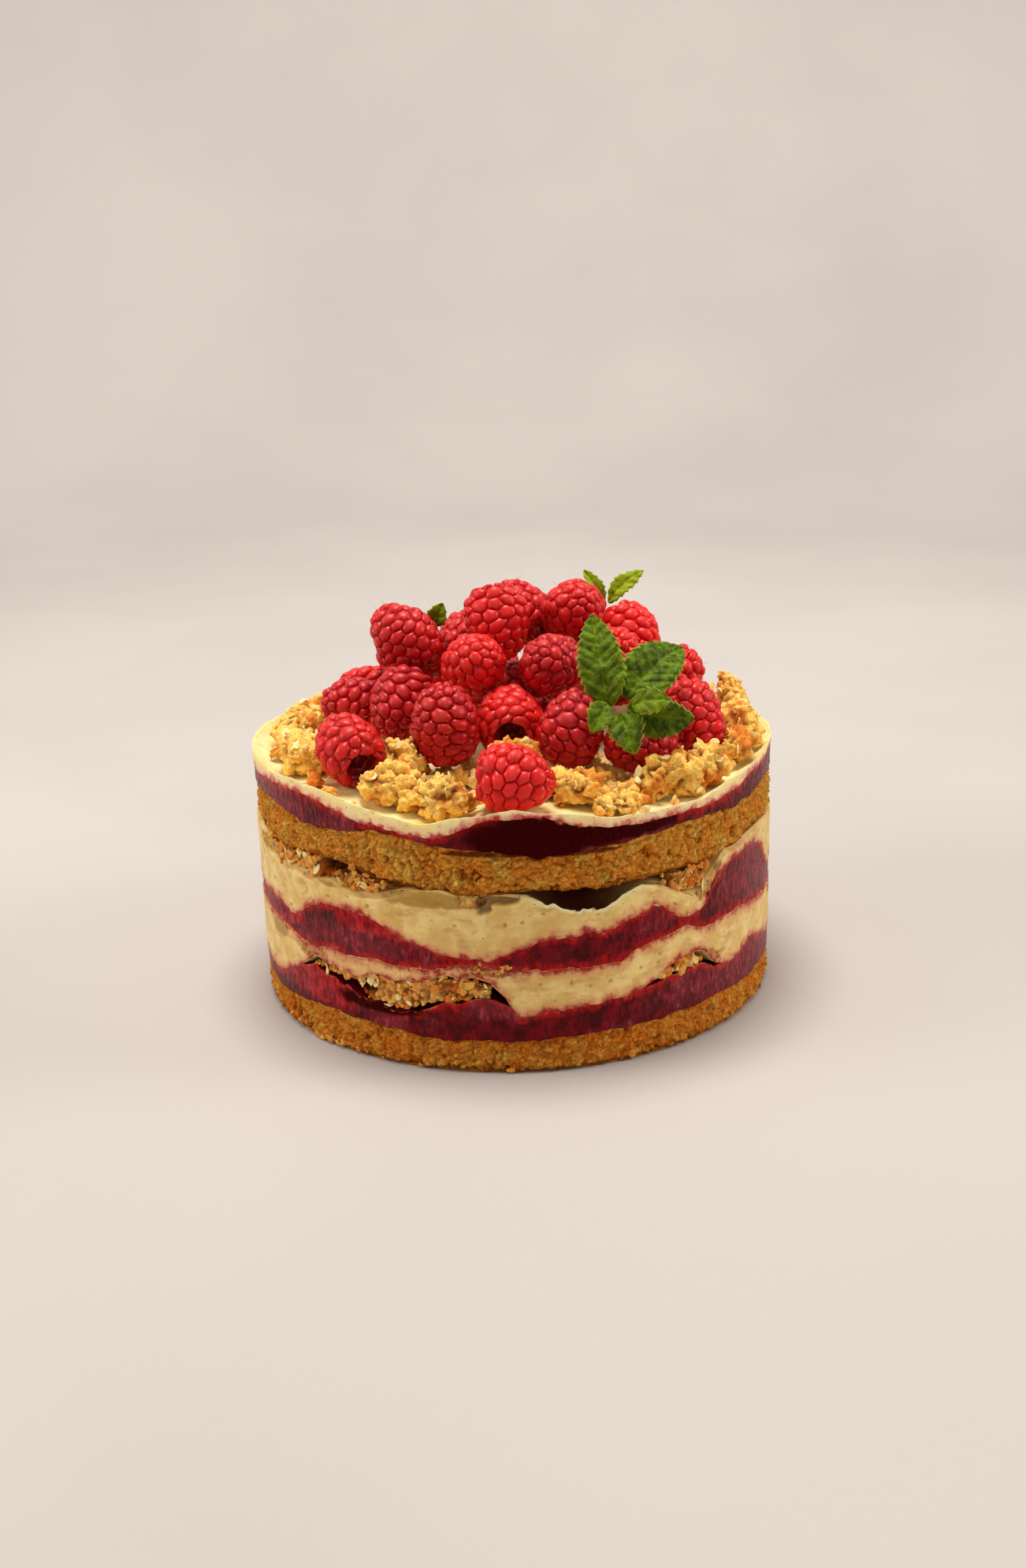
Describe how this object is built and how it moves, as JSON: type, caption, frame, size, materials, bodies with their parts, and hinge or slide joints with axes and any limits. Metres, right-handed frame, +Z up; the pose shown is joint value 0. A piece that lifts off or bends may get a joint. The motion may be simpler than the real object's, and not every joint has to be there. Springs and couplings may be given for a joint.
{
  "type": "victoria sponge cake",
  "caption": "Round open-sided layer cake of sponge, berry jam, vanilla cream and crumble, topped with a mound of red berries, a ring of oat crumble and mint sprigs.",
  "frame": {"origin": "middle of the flat base, on the surface the cake stands on", "axes": "+Z up through the cake, +X to the right and -Y towards the side shown in the picture"},
  "size_m": [0.18, 0.18, 0.1393],
  "materials": {
    "base_sponge": "baked golden-brown sponge with an open crumb",
    "sponge": "golden sponge with an open crumb",
    "jam": "wet dark crimson berry jam",
    "cream": "soft satin vanilla cream with dark specks",
    "berry": "fresh red berry, satin with a faint bloom",
    "crumble": "dry toasted oat crumble",
    "mint": "fresh mint leaf with pale veins"
  },
  "bodies": {
    "root": {"base_sponge": "base_sponge", "berry_high_01": "berry", "berry_high_02": "berry", "berry_high_03": "berry", "berry_high_04": "berry", "berry_inner_01": "berry", "berry_inner_02": "berry", "berry_inner_03": "berry", "berry_low_01": "berry", "berry_low_02": "berry", "berry_low_03": "berry", "berry_low_04": "berry", "berry_low_05": "berry", "berry_low_06": "berry", "berry_low_07": "berry", "berry_low_08": "berry", "berry_low_09": "berry", "berry_low_10": "berry", "berry_low_11": "berry", "berry_low_12": "berry", "berry_low_13": "berry", "berry_low_14": "berry", "berry_mid_01": "berry", "berry_mid_02": "berry", "berry_mid_03": "berry", "berry_mid_04": "berry", "berry_mid_05": "berry", "berry_mid_06": "berry", "berry_mid_07": "berry", "berry_rim_front": "berry", "berry_rim_left": "berry", "crumble_back": "crumble", "crumble_back_left": "crumble", "crumble_back_right": "crumble", "crumble_front": "crumble", "crumble_front_left": "crumble", "crumble_front_right": "crumble", "crumble_left": "crumble", "crumble_right": "crumble", "lower_cream": "cream", "lower_crumble_left": "crumble", "lower_crumble_right": "crumble", "lower_jam": "jam", "middle_jam": "jam", "mint_back_left": "mint", "mint_back_right": "mint", "mint_front_bottom": "mint", "mint_front_inner": "mint", "mint_front_lower_right": "mint", "mint_front_small": "mint", "mint_front_tall": "mint", "mint_front_upper_right": "mint", "mint_left": "mint", "top_cream": "cream", "top_jam": "jam", "top_sponge": "sponge", "upper_cream": "cream", "upper_crumble_back": "crumble", "upper_crumble_left": "crumble", "upper_crumble_right": "crumble"}
  },
  "joints": []
}
